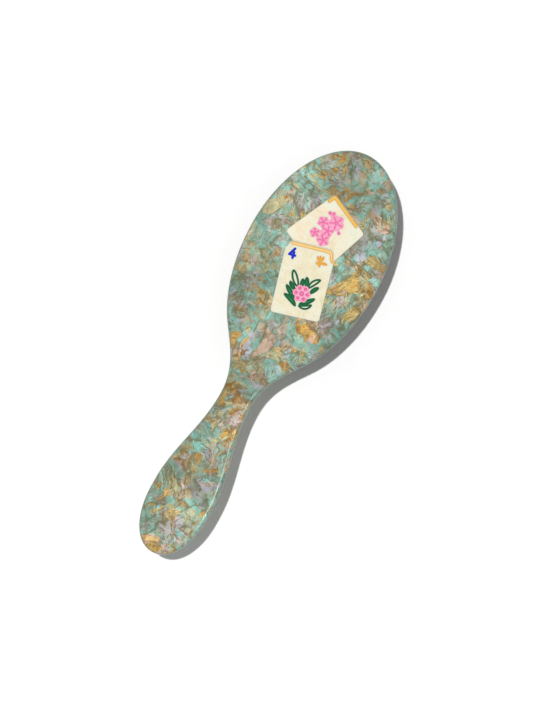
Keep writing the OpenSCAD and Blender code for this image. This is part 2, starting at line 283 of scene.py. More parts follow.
def carve(name, loops, height, walls, offsets, step, pitch, material, reach):
    """A closed solid whose top follows height(p) over the loops' area.
    walls is a list of (loops, z): those outlines run down to z, where the area between them is closed.
    The attribute "inward" runs from 0 at an outline to 1 at reach from it."""
    tree = tree_of(loops)
    loops = [resampled(loop, step) for loop in loops]
    extra = inner_samples(loops, tree, offsets, step)
    extra += grid_samples(loops, tree, pitch, max(offsets) + 0.4 * pitch)
    flat, faces = fill_region(loops, extra)
    bm = bmesh.new()
    add_sheet(bm, [(p.x, p.y, height(p)) for p in flat], faces)
    for edges, low_z in walls:
        edges = [resampled(loop, step) for loop in edges]
        for loop in edges:
            add_rings(bm, [[(x, y, height((x, y))) for x, y in loop], at_height(loop, low_z)])
        add_flat(bm, edges, low_z)
    obj = finish_mesh(name, bm, material)
    inward = obj.data.attributes.new("inward", "FLOAT", "POINT")
    for i, vertex in enumerate(obj.data.vertices):
        inward.data[i].value = min(1.0, distance(tree, vertex.co) / reach)
    return obj


# ---------------------------------------------------------------- materials

# Light that a level face gets in this studio, as a share of its own colour
LIGHT_LEVEL = 1.12


def hex_color(code):
    """The surface colour that shows as a display hex code on a level face in this studio."""
    values = [int(code[i:i + 2], 16) / 255 for i in (0, 2, 4)]
    linear = [v / 12.92 if v <= 0.04045 else ((v + 0.055) / 1.055) ** 2.4 for v in values]
    return (*[v / LIGHT_LEVEL for v in linear], 1.0)


class Recipe:
    """A node material in the making. add() makes a node, and links or sets its inputs by name or number."""

    def __init__(self, name):
        self.material = bpy.data.materials.new(name)
        self.material.use_nodes = True
        self.tree = self.material.node_tree
        self.tree.nodes.clear()
        self.output = self.add("ShaderNodeOutputMaterial")
        self.place = self.millimetres()

    def add(self, kind, inputs=None, **settings):
        node = self.tree.nodes.new(kind)
        for key, value in settings.items():
            setattr(node, key, value)
        for key, value in (inputs or {}).items():
            if isinstance(value, bpy.types.NodeSocket):
                self.tree.links.new(value, node.inputs[key])
            else:
                node.inputs[key].default_value = value
        return node

    def millimetres(self):
        """The object's own coordinates, in millimetres."""
        return self.scaled(self.add("ShaderNodeTexCoord").outputs["Object"], 1000.0)

    def scaled(self, vector, factor):
        return self.add("ShaderNodeVectorMath", {0: vector, "Scale": factor}, operation="SCALE").outputs[0]

    def stretched(self, vector, scale, turn=0.0):
        """The vector scaled by axis, after a turn about z. Small scales give long shapes."""
        return self.add("ShaderNodeMapping", {
            "Vector": vector, "Rotation": (0, 0, turn), "Scale": scale}).outputs[0]

    def turned(self, vector, share, centre=(0, 0, 0)):
        """The vector turned about z by a share of a full turn."""
        return self.add("ShaderNodeVectorRotate", {
            "Vector": vector, "Center": centre, "Angle": self.math("MULTIPLY", share, math.tau)},
            rotation_type="Z_AXIS").outputs[0]

    def warp(self, vector, scale, amount, detail):
        """The vector pushed about by noise, by up to half the amount each way."""
        push = self.add("ShaderNodeTexNoise", {
            "Vector": vector, "Scale": scale, "Detail": detail, "Roughness": 0.5}).outputs["Color"]
        centred = self.add("ShaderNodeVectorMath", {0: push, 1: (0.5, 0.5, 0.5)}, operation="SUBTRACT")
        return self.add("ShaderNodeVectorMath", {0: centred.outputs[0], 1: (amount,) * 3, 2: vector},
                        operation="MULTIPLY_ADD").outputs[0]

    def noise(self, vector, scale, detail=2.0, roughness=0.5, distortion=0.0):
        return self.add("ShaderNodeTexNoise", {
            "Vector": vector, "Scale": scale, "Detail": detail, "Roughness": roughness,
            "Distortion": distortion}).outputs[0]

    def cells(self, vector, scale=1.0):
        """Irregular cells: three random values and a middle for each, and the distance from the edge."""
        inputs = {"Vector": vector, "Scale": scale}
        cell = self.add("ShaderNodeTexVoronoi", inputs)
        edge = self.add("ShaderNodeTexVoronoi", inputs, feature="DISTANCE_TO_EDGE")
        values = self.add("ShaderNodeSeparateColor", {"Color": cell.outputs["Color"]}).outputs
        return values, cell.outputs["Position"], edge.outputs["Distance"]

    def attribute(self, name):
        return self.add("ShaderNodeAttribute", attribute_name=name).outputs["Fac"]

    def math(self, operation, a, b=0.0):
        return self.add("ShaderNodeMath", {0: a, 1: b}, operation=operation).outputs[0]

    def product(self, a, b):
        return self.math("MULTIPLY", a, b)

    def off(self, value, level):
        """How far a value is from a level, either way."""
        return self.math("ABSOLUTE", self.math("SUBTRACT", value, level))

    def span(self, value, low, high, to_low=0.0, to_high=1.0):
        """value mapped from low..high to to_low..to_high, clamped and smoothed."""
        return self.add("ShaderNodeMapRange", {
            "Value": value, "From Min": low, "From Max": high, "To Min": to_low, "To Max": to_high},
            interpolation_type="SMOOTHSTEP").outputs[0]

    def fade(self, value, reach, strength):
        """strength where value is 0, falling smoothly to 0 at reach."""
        return self.span(value, 0.0, reach, strength, 0.0)

    def mix(self, factor, a, b, blend="MIX"):
        node = self.add("ShaderNodeMix", data_type="RGBA", blend_type=blend)
        for socket, value in ((node.inputs[0], factor), (node.inputs[6], a), (node.inputs[7], b)):
            if isinstance(value, bpy.types.NodeSocket):
                self.tree.links.new(value, socket)
            else:
                socket.default_value = value
        return node.outputs[2]

    def shade(self, color, value):
        """The colour made lighter or darker by a value."""
        grey = self.add("ShaderNodeCombineColor", {0: value, 1: value, 2: value})
        return self.mix(1.0, color, grey.outputs[0], "MULTIPLY")

    def ramp(self, factor, stops, interpolation="LINEAR"):
        """The colour for a value, from stops of (value, hex code)."""
        node = self.add("ShaderNodeValToRGB", {"Fac": factor})
        ramp = node.color_ramp
        ramp.interpolation = interpolation
        while len(ramp.elements) < len(stops):
            ramp.elements.new(0.5)
        for element, (position, code) in zip(ramp.elements, stops):
            element.position = position
            element.color = hex_color(code)
        return node.outputs["Color"]

    def bump(self, height, strength, distance_m):
        return self.add("ShaderNodeBump", {
            "Height": height, "Strength": strength, "Distance": distance_m}).outputs[0]

    def surface(self, **inputs):
        names = {key.replace("_", " "): value for key, value in inputs.items()}
        shader = self.add("ShaderNodeBsdfPrincipled", names)
        self.tree.links.new(shader.outputs[0], self.output.inputs["Surface"])
        return self.material


# What the acetate is pressed from. A random value picks a shard's colour, by these lower bounds
GROUND = [(0.28, "8E9470"), (0.40, "8EAE9C"), (0.48, "8AC0B2"),
          (0.55, "A6AC9C"), (0.62, "BCB8C0"), (0.72, "C6B090")]
COOL_SHARDS = [(0.00, "86C6B8"), (0.22, "8FB3A2"), (0.38, "A0AD96"),
               (0.54, "BBBBC6"), (0.68, "A3AA9A"), (0.80, "9CCCBE")]
WARM_SHARDS = [(0.00, "C9BC8C"), (0.24, "CBA157"), (0.38, "D2B29C"),
               (0.60, "AE9C6C"), (0.78, "D2B168"), (0.90, "A6803E")]
WARM_FLAKES = [(0.00, "D2A350"), (0.26, "B98C42"), (0.50, "D6BA78"), (0.72, "D8B29C"), (0.88, "D8AB5A")]
COOL_FLAKE = "BEBBCB"
AMBER_WRINKLE = "84602A"
# Colours of the veining, also used for the painted shade beside the folds
COOL_VEIN_AND_SHADE, WARM_VEIN_AND_SHADE = "6A5F34", "76581F"
# Colour of the painted shade on the rounded edge
ROUND_EDGE_SHADE = "3F6E4C"


class Acetate(Recipe):
    """Pressed shards of teal, sage, lavender, blush and amber acetate, with olive veining between them, and
    painted highlight and shade on the shards, the folds and the rounded edge.
    """

    def __init__(self):
        super().__init__("acetate")
        coarse = self.warp(self.place, 0.07, 6.0, 1.0)
        self.crumpled = self.warp(self.warp(coarse, 0.25, 3.0, 2.0), 0.9, 0.6, 2.0)
        self.cloud = self.noise(self.crumpled, 0.10, 3.0, 0.6)
        self.warm_area = self.noise(self.place, 0.055, 2.0, 0.6)
        self.color = self.ramp(self.cloud, GROUND)
        self.lay_patches()
        self.lay_shards()
        self.lay_flakes()
        self.lay_streaks()
        self.lay_painted_sheen()
        self.lay_wrinkles()
        self.lay_veins_and_fold_shade()
        self.finish_face()

    def lay_patches(self):
        """Patches about 15 mm wide: within each, the shards and their streaks lie one way."""
        patch = self.add("ShaderNodeTexVoronoi", {"Vector": self.crumpled, "Scale": 0.065})
        turn, size, streaky = self.add("ShaderNodeSeparateColor", {"Color": patch.outputs["Color"]}).outputs
        self.laid = self.turned(self.crumpled, turn, patch.outputs["Position"])
        self.shard_size = self.span(size, 0.0, 1.0, 0.7, 1.35)
        self.streaky = self.span(streaky, 0.3, 0.8, 0.1, 1.0)

    def shard_color(self, choice):
        cool, warm = self.ramp(choice, COOL_SHARDS, "CONSTANT"), self.ramp(choice, WARM_SHARDS, "CONSTANT")
        return self.mix(self.is_warm, cool, warm)

    def lay_shards(self):
        """Cool or warm shards that fade into the cloudy ground at their edges."""
        self.shard_place = self.stretched(self.scaled(self.laid, self.shard_size), (0.21, 0.085, 0.2))
        (choice, kind, self.shard_random), self.shard_middle, self.shard_edge = self.cells(self.shard_place)
        self.is_warm = self.math("LESS_THAN", kind, self.span(self.warm_area, 0.40, 0.62, 0.12, 0.66))
        self.second_color = self.shard_color(self.math("FRACT", self.math("ADD", choice, 0.41)))
        feather = self.span(self.shard_edge, 0.0, self.span(kind, 0.0, 1.0, 0.04, 0.34))
        self.shard_cover = self.product(self.span(self.shard_random, 0.1, 0.9, 0.30, 0.92), feather)
        self.color = self.mix(self.shard_cover, self.color, self.shard_color(choice))

    def lay_flakes(self):
        """Small flakes on top, amber where it's warm and lavender elsewhere."""
        place = self.stretched(self.crumpled, (0.31, 0.17, 0.2), 0.9)
        (choice, kind, self.flake_random), _, self.flake_edge = self.cells(place)
        is_flake = self.math("LESS_THAN", kind, self.span(self.warm_area, 0.44, 0.62, 0.06, 0.38))
        warm = self.ramp(choice, WARM_FLAKES, "CONSTANT")
        flake = self.mix(self.span(self.warm_area, 0.42, 0.52), hex_color(COOL_FLAKE), warm)
        self.flake_cover = self.product(is_flake, self.span(self.flake_edge, 0.0, 0.24, 0.0, 0.9))
        self.color = self.mix(self.flake_cover, self.color, flake)

    def lay_streaks(self):
        """Streaks along each patch, strong in some and faint in others."""
        self.streak = self.noise(self.stretched(self.laid, (0.85, 0.06, 0.3)), 1.0, 3.0, 0.6)
        cover = self.product(self.span(self.streak, 0.51, 0.60, 0.0, 0.8), self.streaky)
        self.color = self.mix(cover, self.color, self.second_color)

    def lay_painted_sheen(self):
        """A painted pearly highlight across each shard, lighter on one side and darker on the other, then
        ripples, and slow changes of lightness over the whole face.
        """
        local = self.add("ShaderNodeVectorMath", {
            0: self.shard_place, 1: self.shard_middle}, operation="SUBTRACT")
        spun = self.turned(local.outputs[0], self.shard_random)
        across = self.add("ShaderNodeSeparateXYZ", {0: spun}).outputs[0]
        # Painted highlight and shade: each shard is lighter on one side than the other
        painted_sheen = self.span(across, -0.6, 0.6, 0.93, 1.10)
        slow_lightness = self.span(self.noise(self.place, 0.028, 3.0, 0.6), 0.36, 0.64, 0.74, 1.22)
        self.color = self.shade(self.color, self.product(painted_sheen, slow_lightness))
        self.ripple = self.noise(self.crumpled, 0.38, 2.0, 0.5, 0.6)
        self.color = self.shade(self.color, self.span(self.ripple, 0.34, 0.66, 0.90, 1.10))

    def lay_wrinkles(self):
        """Brown wrinkles inside the amber."""
        wrinkle = self.fade(self.off(self.ripple, 0.5), 0.045, 0.8)
        amber = self.math("MAXIMUM", self.product(self.is_warm, self.shard_cover), self.flake_cover)
        in_amber = self.product(amber, self.span(self.warm_area, 0.42, 0.52))
        self.color = self.mix(self.product(wrinkle, in_amber), self.color, hex_color(AMBER_WRINKLE))

    def folds(self):
        """Paints a highlight on one side of each fold, and returns how dark its line and the painted shade on
        its other side are.
        """
        above = self.math("SUBTRACT", self.noise(self.crumpled, 0.15, 3.0, 0.55, 0.9), 0.5)
        off_fold = self.math("ABSOLUTE", above)
        # Painted highlight on one side of each fold
        painted_highlight_side = self.product(self.math("LESS_THAN", above, 0.0), self.fade(off_fold, 0.08, 0.16))
        self.color = self.shade(self.color, self.math("ADD", painted_highlight_side, 1.0))
        # Painted shade on the fold's other side
        painted_shadow_side = self.product(self.math("GREATER_THAN", above, 0.0), self.fade(off_fold, 0.08, 0.5))
        fold_line = self.fade(off_fold, 0.032, 0.95)
        dark = self.math("MAXIMUM", painted_shadow_side, fold_line)
        return self.product(dark, self.span(self.cloud, 0.42, 0.54))

    def lay_veins_and_fold_shade(self):
        """Veins between some of the shards and flakes, thin or thick, and along streaks and folds, with the
        painted shade beside the folds mixed in the same colour.
        """
        fold_lines_and_painted_shade = self.folds()
        width = self.span(self.noise(self.place, 0.16, 2.0, 0.6), 0.38, 0.64, 0.01, 0.26)
        strength = self.span(self.noise(self.place, 0.12, 2.0, 0.5), 0.42, 0.56)
        shard_vein = self.product(self.fade(self.shard_edge, width, 0.88), strength)
        flake_vein = self.product(self.fade(self.flake_edge, self.product(width, 0.8), 0.9),
                                  self.span(self.flake_random, 0.45, 0.6, 0.0, 0.7))
        streak_line = self.product(self.fade(self.off(self.streak, 0.45), 0.06, 0.95), self.streaky)
        # The veining together with the painted shade beside the folds
        veins_and_fold_shade = self.math("MAXIMUM", self.math("MAXIMUM", shard_vein, flake_vein),
                          self.math("MAXIMUM", fold_lines_and_painted_shade, streak_line))
        warmth = self.span(self.warm_area, 0.42, 0.60)
        vein_and_shade_color = self.mix(warmth, hex_color(COOL_VEIN_AND_SHADE), hex_color(WARM_VEIN_AND_SHADE))
        self.color = self.mix(self.product(veins_and_fold_shade, 0.87), self.color, vein_and_shade_color)

    def finish_face(self):
        """Fine grain, and painted shade on the rounded edge: deeper green where it turns away from level,
        less on the side walls.
        """
        grain = self.noise(self.place, 1.3, 3.0, 0.6)
        self.color = self.shade(self.color, self.span(grain, 0.3, 0.7, 0.94, 1.05))
        # Painted shade on the rounded edge, strongest partway round and weaker on the side walls
        normal = self.add("ShaderNodeNewGeometry").outputs["Normal"]
        level = self.math("ABSOLUTE", self.add("ShaderNodeSeparateXYZ", {0: normal}).outputs[2])
        painted_rim_shade = self.product(self.span(level, 0.25, 0.86, 0.8, 0.0), self.span(level, 0.0, 0.45, 0.3, 1.0))
        self.color = self.mix(painted_rim_shade, self.color, hex_color(ROUND_EDGE_SHADE))
        haze = self.noise(self.place, 0.5, 3.0, 0.6)
        wave = self.noise(self.place, 0.06, 1.0, 0.4)
        self.surface(
            Base_Color=self.color, Roughness=self.span(haze, 0.3, 0.7, 0.16, 0.26), IOR=1.49,
            Specular_IOR_Level=0.35, Coat_Weight=0.3, Coat_Roughness=0.1,
            Normal=self.bump(wave, 0.25, 0.4 * MM))


def tile_material(name, warmth):
    """Cream phenolic resin with faint cloudy marbling."""
    m = Recipe(name)
    cloud = m.noise(m.place, 0.14, 4.0, 0.6, 0.8)
    wisp = m.noise(m.place, 0.45, 5.0, 0.65, 1.6)
    cream = m.ramp(cloud, [(0.30, "EFF3DE"), (0.44, "F9F2D8"), (0.58, warmth), (0.72, "EAE2BC")])
    color = m.mix(m.span(wisp, 0.52, 0.72, 0.0, 0.5), cream, hex_color("D9D4AE"))
    # Paler near the rim and the engraving's edges: a painted highlight on the eased edges
    color = m.mix(m.fade(m.attribute("inward"), 1.0, 0.6), color, hex_color("E2E6D6"))
    fine = m.noise(m.place, 1.8, 3.0, 0.6)
    return m.surface(
        Base_Color=color, Roughness=m.span(fine, 0.3, 0.7, 0.2, 0.3), IOR=1.52,
        Subsurface_Weight=0.12, Subsurface_Radius=(0.003, 0.0022, 0.0014), Subsurface_Scale=0.4,
        Coat_Weight=0.35, Coat_Roughness=0.08, Normal=m.bump(cloud, 0.12, 0.3 * MM))


def paint_material(name, edge, middle, deep):
    """Glossy paint lying in engraving: lighter down its middle than at its edge, a painted highlight and
    shade, and brush marks vary it.
    """
    m = Recipe(name)
    brushed = m.noise(m.place, 0.9, 3.0, 0.6, 0.6)
    # Painted highlight and shade: the middle colour is lighter than the edge colour
    color = m.mix(m.span(m.attribute("inward"), 0.15, 0.95), hex_color(edge), hex_color(middle))
    color = m.mix(m.span(brushed, 0.45, 0.72, 0.0, 0.5), color, hex_color(deep))
    pitted = m.noise(m.place, 5.0, 2.0, 0.5)
    return m.surface(
        Base_Color=color, Roughness=m.span(pitted, 0.3, 0.7, 0.24, 0.38), IOR=1.5,
        Coat_Weight=0.25, Coat_Roughness=0.1, Normal=m.bump(pitted, 0.2, 0.03 * MM))


def rubber_material():
    """Black rubber with a faint bloom and a fine moulded skin."""
    m = Recipe("cushion_rubber")
    bloom = m.noise(m.place, 0.12, 3.0, 0.6)
    skin = m.noise(m.place, 4.5, 3.0, 0.65)
    color = m.ramp(bloom, [(0.35, "1C1A1A"), (0.7, "2B2828")])
    return m.surface(
        Base_Color=color, Roughness=m.span(bloom, 0.3, 0.7, 0.48, 0.62), IOR=1.5,
        Normal=m.bump(skin, 0.35, 0.05 * MM))


def nylon_material():
    """Black nylon, slightly mottled."""
    m = Recipe("pin_nylon")
    mottled = m.noise(m.place, 0.8, 2.0, 0.5)
    color = m.ramp(mottled, [(0.35, "151315"), (0.7, "262224")])
    return m.surface(
        Base_Color=color, Roughness=m.span(mottled, 0.3, 0.7, 0.22, 0.32), IOR=1.53,
        Normal=m.bump(mottled, 0.1, 0.05 * MM))


def bristle_material():
    """Natural bristle: each hair has its own brown, streaked along its length."""
    m = Recipe("bristle_hair")
    color = m.ramp(m.attribute("tone"), [(0.0, "1E1512"), (0.45, "3B2A20"), (0.8, "5A4331"), (1.0, "8A6B4C")])
    streak = m.noise(m.stretched(m.place, (9.0, 9.0, 0.6)), 1.0, 2.0, 0.6)
    color = m.shade(color, m.span(streak, 0.3, 0.7, 0.75, 1.2))
    return m.surface(Base_Color=color, Roughness=m.span(streak, 0.3, 0.7, 0.36, 0.5), IOR=1.55)


def floor_material():
    """Plain pale backdrop with the faintest unevenness."""
    m = Recipe("floor")
    soft = m.noise(m.place, 0.01, 2.0, 0.5)
    color = m.mix(m.span(soft, 0.3, 0.7), (0.92, 0.92, 0.92, 1), (0.94, 0.94, 0.94, 1))
    return m.surface(Base_Color=color, Roughness=0.8)


# ---------------------------------------------------------------- acetate slab

# Stations from the tip of the head, and curve handles, by the same rule as the CAD outline
WIDEST_AT = 0.259 * LENGTH
HEAD_LOW = 0.277 * LENGTH
SHOULDER_AT = 0.473 * LENGTH
NECK_AT = 0.618 * LENGTH
GRIP_AT = 0.859 * LENGTH
END_LENGTH = 0.127 * LENGTH
NECK_HALF = 8.15 * MM
GRIP_HALF = 16 * MM
END_FULLNESS = 2.1
SHOULDER_LEAD, NECK_LEAD, GRIP_LEAD = 10 * MM, 14 * MM, 19 * MM

# Steps along each stretch of the outline, and points on the even outline that's made from it
HEAD_STEPS, SHOULDER_STEPS, GRIP_STEPS, END_STEPS = 60, 30, 36, 45
OUTLINE_POINTS = 520


def bezier(a, b, c, d, s):
    return (1 - s) ** 3 * a + 3 * s * (1 - s) ** 2 * b + 3 * s * s * (1 - s) * c + s ** 3 * d


def head_outline(low_angle):
    """The head from its tip to the shoulder."""
    points = []
    for i in range(HEAD_STEPS + 1):
        angle = math.pi / 2 * i / HEAD_STEPS
        points.append(Vector((HEAD_HALF * math.sin(angle), WIDEST_AT * (1 - math.cos(angle)))))
    for i in range(1, SHOULDER_STEPS + 1):
        angle = low_angle * i / SHOULDER_STEPS
        points.append(Vector((HEAD_HALF * math.cos(angle), WIDEST_AT + HEAD_LOW * math.sin(angle))))
    return points


def end_outline():
    """The handle's end, a little squarer than an ellipse."""
    points = []
    for i in range(END_STEPS + 1):
        angle = math.pi / 2 * i / END_STEPS
        across = max(0.0, math.cos(angle)) ** (2 / END_FULLNESS)
        along = math.sin(angle) ** (2 / END_FULLNESS)
        points.append(Vector((GRIP_HALF * across, LENGTH - END_LENGTH * (1 - along))))
    return points


def half_outline():
    """One side of the slab from tip to handle end, as (half width, distance from the tip)."""
    low_angle = math.asin((SHOULDER_AT - WIDEST_AT) / HEAD_LOW)
    points = head_outline(low_angle)
    shoulder = points[-1]
    slope = Vector((-HEAD_HALF * math.sin(low_angle), HEAD_LOW * math.cos(low_angle)))
    handle = shoulder + SHOULDER_LEAD * slope / slope.y
    neck, grip = Vector((NECK_HALF, NECK_AT)), Vector((GRIP_HALF, GRIP_AT))
    down = Vector((0, 1))
    points += [bezier(shoulder, handle, neck - NECK_LEAD * down, neck, i / SHOULDER_STEPS)
               for i in range(1, SHOULDER_STEPS + 1)]
    points += [bezier(neck, neck + GRIP_LEAD * down, grip - GRIP_LEAD * down, grip, i / GRIP_STEPS)
               for i in range(1, GRIP_STEPS + 1)]
    return points + end_outline()


def slab_outline():
    """The whole outline, counter-clockwise seen from the back, with even spacing."""
    side = half_outline()
    left = [(-p.x, LENGTH / 2 - p.y) for p in side]
    right = [(p.x, LENGTH / 2 - p.y) for p in side[-2:0:-1]]
    loop = left + right
    step = loop_length(loop) / OUTLINE_POINTS
    out, due = [], 0.0
    for a, b in zip(loop, loop[1:] + loop[:1]):
        run = math.dist(a, b)
        while due < run:
            share = due / run
            out.append((a[0] + (b[0] - a[0]) * share, a[1] + (b[1] - a[1]) * share))
            due += step
        due -= run
    return out[:OUTLINE_POINTS]


CUSHION_MIDDLE = Vector(((cushion_low.x + cushion_high.x) / 2, (cushion_low.y + cushion_high.y) / 2))
FLANGE_REACH = 1.4 * MM
RECESS_HALF = Vector((cushion_high.x - CUSHION_MIDDLE.x - FLANGE_REACH,
                      cushion_high.y - CUSHION_MIDDLE.y - FLANGE_REACH))
RECESS_DEPTH = 5.5 * MM
OVAL_POINTS = 160


def oval(amount):
    """Oval at a distance inside the recess wall, counter-clockwise."""
    angles = [2 * math.pi * i / OVAL_POINTS for i in range(OVAL_POINTS)]
    return [(CUSHION_MIDDLE.x + (RECESS_HALF.x - amount) * math.cos(angle),
             CUSHION_MIDDLE.y + (RECESS_HALF.y - amount) * math.sin(angle)) for angle in angles]


def quarter_round(radius, steps):
    """A quarter circle from a face to a wall, as (distance from the wall, distance from the face)."""
    angles = [math.pi / 2 * i / steps for i in range(steps + 1)]
    return [(radius * (1 - math.sin(angle)), radius * (1 - math.cos(angle))) for angle in angles]


EDGE_STEPS = 10
# The flat faces start this far inside the rounded edge
EDGE_SUPPORT = 0.3 * MM
# The pocket's and the recess's rims are eased by these radii
POCKET_LIP = 0.12 * MM
MOUTH_RADIUS, MOUTH_STEPS = 0.5 * MM, 5


def add_pocket(bm, face_edge):
    """The back face, with the pocket for the tiles."""
    pocket = resampled(flat_loops("brush_body", BACK_Z)[1], 0.6 * MM)
    outwards = -1 if signed_area(pocket) > 0 else 1
    opening = inset(pocket, outwards * POCKET_LIP)
    half_way = 0.3 * POCKET_LIP
    add_flat(bm, [face_edge, opening], BACK_Z)
    add_rings(bm, [at_height(opening, BACK_Z),
                   at_height(inset(pocket, outwards * half_way), BACK_Z - half_way),
                   at_height(pocket, BACK_Z - POCKET_LIP), at_height(pocket, BACK_Z - TILE_DEPTH)])
    add_flat(bm, [pocket], BACK_Z - TILE_DEPTH)


def add_recess(bm, face_edge):
    """The front face, with the recess for the cushion."""
    add_flat(bm, [face_edge, oval(-MOUTH_RADIUS)], FRONT_Z)
    wall = [at_height(oval(-out), FRONT_Z + up) for out, up in quarter_round(MOUTH_RADIUS, MOUTH_STEPS)]
    wall.append(at_height(oval(0), FRONT_Z + RECESS_DEPTH))
    add_rings(bm, wall)
    add_flat(bm, [oval(0)], FRONT_Z + RECESS_DEPTH)


def make_slab(material):
    """The acetate slab: rounded edges, a pocket for the tiles and a recess for the cushion."""
    outline = slab_outline()
    face_edge = inset(outline, EDGE_RADIUS + EDGE_SUPPORT)
    rounding = quarter_round(EDGE_RADIUS, EDGE_STEPS)
    rings = [at_height(face_edge, FRONT_Z)]
    rings += [at_height(inset(outline, in_from), FRONT_Z + up) for in_from, up in rounding]
    rings += [at_height(inset(outline, in_from), BACK_Z - down) for down, in_from in rounding]
    rings += [at_height(face_edge, BACK_Z)]
    bm = bmesh.new()
    add_rings(bm, rings)
    add_pocket(bm, face_edge)
    add_recess(bm, face_edge)
    slab = finish_mesh("acetate_slab", bm, material, 50)
    weighted = slab.modifiers.new("even_shading", "WEIGHTED_NORMAL")
    weighted.keep_sharp = True
    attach(slab, "brush")
    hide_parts("brush_body")


# ---------------------------------------------------------------- tiles and their paint

TILE_RIM_RADIUS, CUT_RADIUS = 0.3 * MM, 0.05 * MM
# The paint's surface lies this far below the tile's face at its edge, and is this much hollower in the middle
PAINT_DROP, PAINT_HOLLOW = 0.03 * MM, 0.12 * MM


def fall(amount, radius):
    """Drop of a rounded edge at a distance from it."""
    share = min(1.0, amount / radius)
    return radius * (1 - math.sqrt(max(0.0, 1 - (1 - share) ** 2)))


def make_tile(name, node, material):
    """A tile slice with an eased rim and open engraving."""
    loops = flat_loops(node, BACK_Z)
    rim, cuts = loops[:1], loops[1:]
    rim_tree, cut_tree = tree_of(rim), tree_of(cuts)

    def height(p):
        rim_fall = fall(distance(rim_tree, p), TILE_RIM_RADIUS)
        cut_fall = fall(distance(cut_tree, p), CUT_RADIUS)
        return BACK_Z - max(rim_fall, cut_fall)

    tile = carve(name, loops, height, walls=[(rim, BACK_Z - TILE_DEPTH), (cuts, ENGRAVING_Z)],
                 offsets=(0.05 * MM, 0.12 * MM, 0.3 * MM), step=0.3 * MM, pitch=0.9 * MM,
                 material=material, reach=0.8 * MM)
    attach(tile, "brush")
    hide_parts(node)


def make_paint(name, node, material, reach):
    """Paint in one engraving, a little hollow and just below the tile's face."""
    loops = flat_loops(node, BACK_Z)
    tree = tree_of(loops)

    def height(p):
        share = min(1.0, distance(tree, p) / reach)
        return BACK_Z - PAINT_DROP - PAINT_HOLLOW * math.sin(math.pi / 2 * share)

    paint = carve(name, loops, height, walls=[(loops, ENGRAVING_Z)],
                  offsets=(0.08 * MM, 0.2 * MM), step=0.2 * MM, pitch=0.25 * MM,
                  material=material, reach=reach)
    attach(paint, "brush")
    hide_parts(node)


# ---------------------------------------------------------------- cushion

CROWN = FRONT_Z - cushion_low.z
CROWN_POWER = 2.5
RUBBER = 1.4 * MM
FACE_STEPS, FACE_CROWDING = 34, 1.6
CROWN_FLAT = 0.4 * MM
# The rolled edge: its height, where it stands inside the wall, and its half width
ROLL, ROLL_AT, ROLL_HALF = 0.5 * MM, 1.1 * MM, 0.7 * MM
WALL_GAP = 0.12 * MM
EDGE_TOP, FLANGE_TOP = 0.35 * MM, 1.6 * MM
FLANGE_INSET = 1.6 * MM


def travel_of(body):
    """How far a ring of pins is pressed in at most."""
    joints = frame["record"]["behaviour"]["joints"]
    return next(joint["range_m"][1] for joint in joints if joint["child"] == body)


# Share of its height that the cushion loses when it's pressed all the way in
GIVE = travel_of("middle_row") / CROWN


def dome_z(amount):
    """Height of the cushion's outer face at a distance inside the recess wall."""
    return FRONT_Z - CROWN * (1 - max(0.0, 1 - amount / RECESS_HALF.x) ** CROWN_POWER)


def roll_z(amount):
    """How far the rolled edge stands out of the dome."""
    return ROLL * math.exp(-((amount - ROLL_AT) / ROLL_HALF) ** 2)


def make_cushion(material):
    """Domed rubber membrane with a rolled edge, held by a flange behind the mouth of the recess."""
    farthest = RECESS_HALF.x - CROWN_FLAT
    insets = [farthest * (1 - i / FACE_STEPS) ** FACE_CROWDING for i in range(FACE_STEPS)]
    outer = [at_height(oval(a), dome_z(a) - roll_z(a)) for a in insets]
    edge = [at_height(oval(WALL_GAP), FRONT_Z + EDGE_TOP), at_height(oval(WALL_GAP), FRONT_Z + FLANGE_TOP),
            at_height(oval(FLANGE_INSET), FRONT_Z + FLANGE_TOP)]
    inner = [at_height(oval(a), dome_z(a) + RUBBER) for a in reversed(insets) if a > FLANGE_INSET]
    bm = bmesh.new()
    for ring in add_rings(bm, outer + edge + inner):
        close_ring(bm, ring)
    cushion = finish_mesh("rubber_cushion", bm, material, 60)
    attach(cushion, "brush")
    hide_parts("cushion_pad")
    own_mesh(cushion)


# ---------------------------------------------------------------- pins

BALL = 0.95 * MM
# How much of the ball's half circle shows before the pin's neck begins
BALL_SHARE, BALL_STEPS = 0.8, 10
PIN_NECK, PIN_LOW, PIN_HALF = 0.46 * MM, 0.48 * MM, 0.6 * MM
FOOT_HALF = 1.5 * MM
FOOT_HEIGHT = 0.8 * MM
FOOT_EASE = 0.15 * MM
PIN_SIDES = 20


def body_of_ring(ring):
    return "middle_row" if ring == RING_NUMBERS[-1] else f"ring_{ring}"


def pin_places(ring):
    """Where the pins of a ring stand: under each ball's lowest point."""
    mesh = frame["nodes"][f"pin_ring_{ring}"].data
    return sorted({(round(v.co.x, 6), round(v.co.y, 6)) for v in mesh.vertices if v.co.z < SAME_HEIGHT})


def around(place, radius, sides):
    """Points round a place, counter-clockwise."""
    x, y = place
    return [(x + radius * math.cos(math.tau * i / sides), y + radius * math.sin(math.tau * i / sides))
            for i in range(sides)]


def revolve(bm, place, profile, sides):
    """A turned solid about a vertical line through place; the profile is (radius, z) from end to end."""
    first, last = add_rings(bm, [at_height(around(place, radius, sides), z) for radius, z in profile[1:-1]])
    for end, ring in ((profile[0], first), (profile[-1], last)):
        tip = bm.verts.new((*place, end[1]))
        for i in range(sides):
            bm.faces.new((ring[i], ring[(i + 1) % sides], tip))


